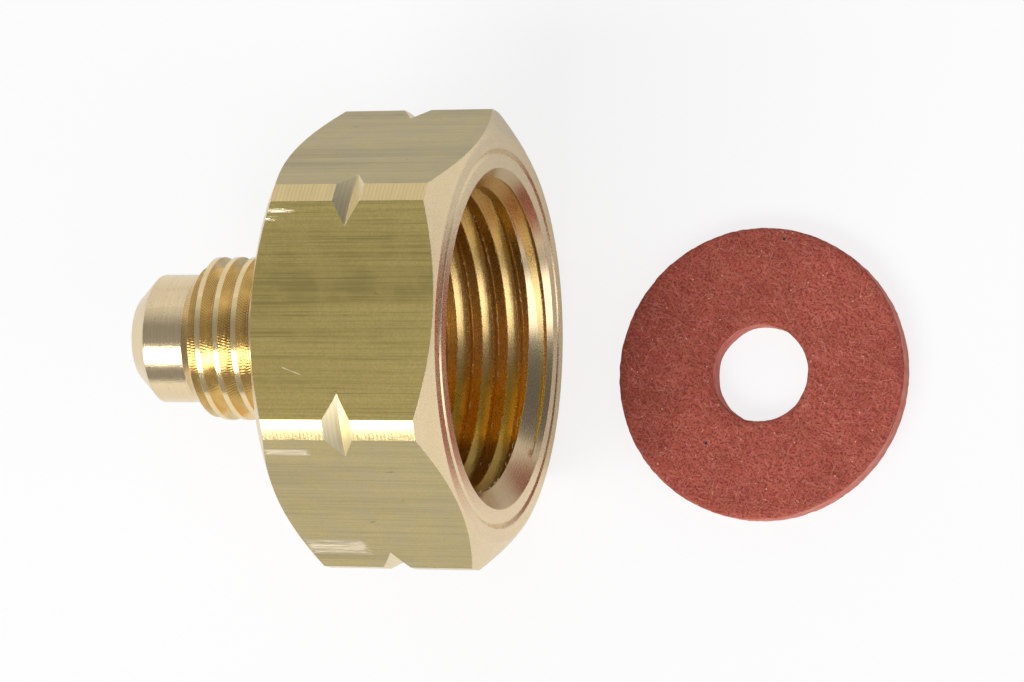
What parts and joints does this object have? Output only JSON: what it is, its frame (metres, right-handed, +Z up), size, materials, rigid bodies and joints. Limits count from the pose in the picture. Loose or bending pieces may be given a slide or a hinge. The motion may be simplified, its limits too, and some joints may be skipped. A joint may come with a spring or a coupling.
{
  "type": "gas adapter with sealing washer",
  "caption": "Hexagonal brass gas adapter: left-hand threaded socket, coaxial smaller right-hand threaded spigot with plain nose, and a loose flat fibre sealing washer.",
  "frame": {"origin": "centre of the socket's mouth face, on the axis that socket and spigot share", "axes": "+X out of the socket along the common axis, +Z up from the flat that the adapter lies on, +Y across the flats' corners"},
  "size_m": [0.0494, 0.0304, 0.027],
  "materials": {
    "brass": "drawn bar flats, turned ends and threads",
    "fibre": "matt red vulcanised fibre, punched"
  },
  "bodies": {
    "root": {"adapter_body": "brass", "sealing_washer": "fibre"}
  },
  "joints": []
}
